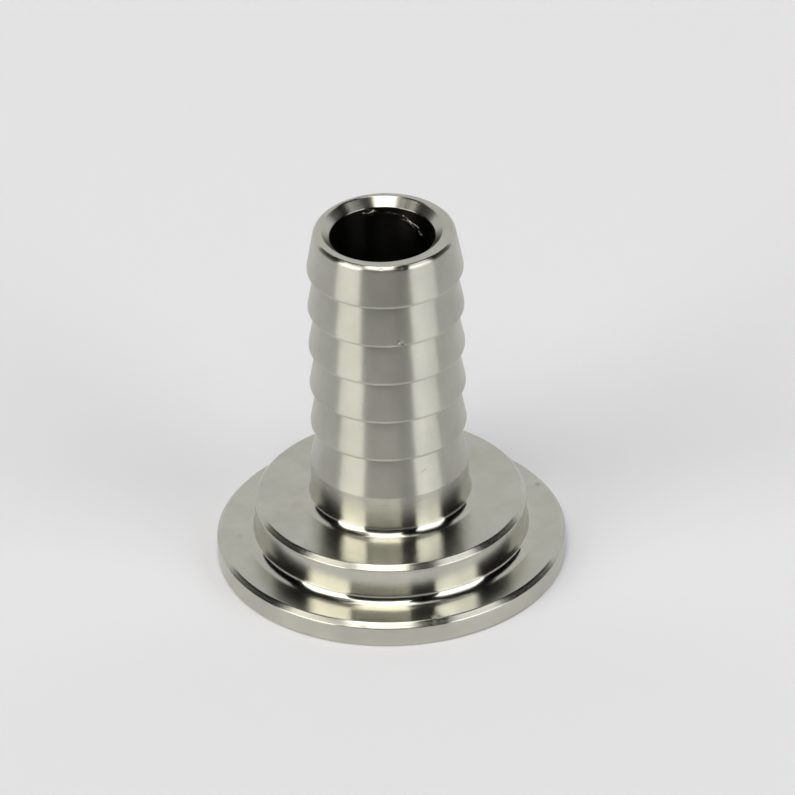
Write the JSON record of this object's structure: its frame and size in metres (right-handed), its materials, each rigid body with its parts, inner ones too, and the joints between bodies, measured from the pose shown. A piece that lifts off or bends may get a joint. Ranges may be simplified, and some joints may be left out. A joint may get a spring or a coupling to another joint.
{
  "type": "hose barb tailpiece",
  "caption": "Turned stainless steel tailpiece: a flat seat flange and shoulder for a coupling nut, and a barbed stem, bored right through, that a hose is pushed over.",
  "frame": {"origin": "centre of the flat underside of the flange", "axes": "+Z along the bore, from the flange up to the tip of the barbs; X and Y are free, because the part is round about Z"},
  "size_m": [0.0204, 0.0204, 0.0222],
  "materials": {
    "stainless": "fine turned stainless steel, with circular tool marks round the axis"
  },
  "bodies": {
    "root": {"tailpiece": "stainless"}
  },
  "joints": []
}
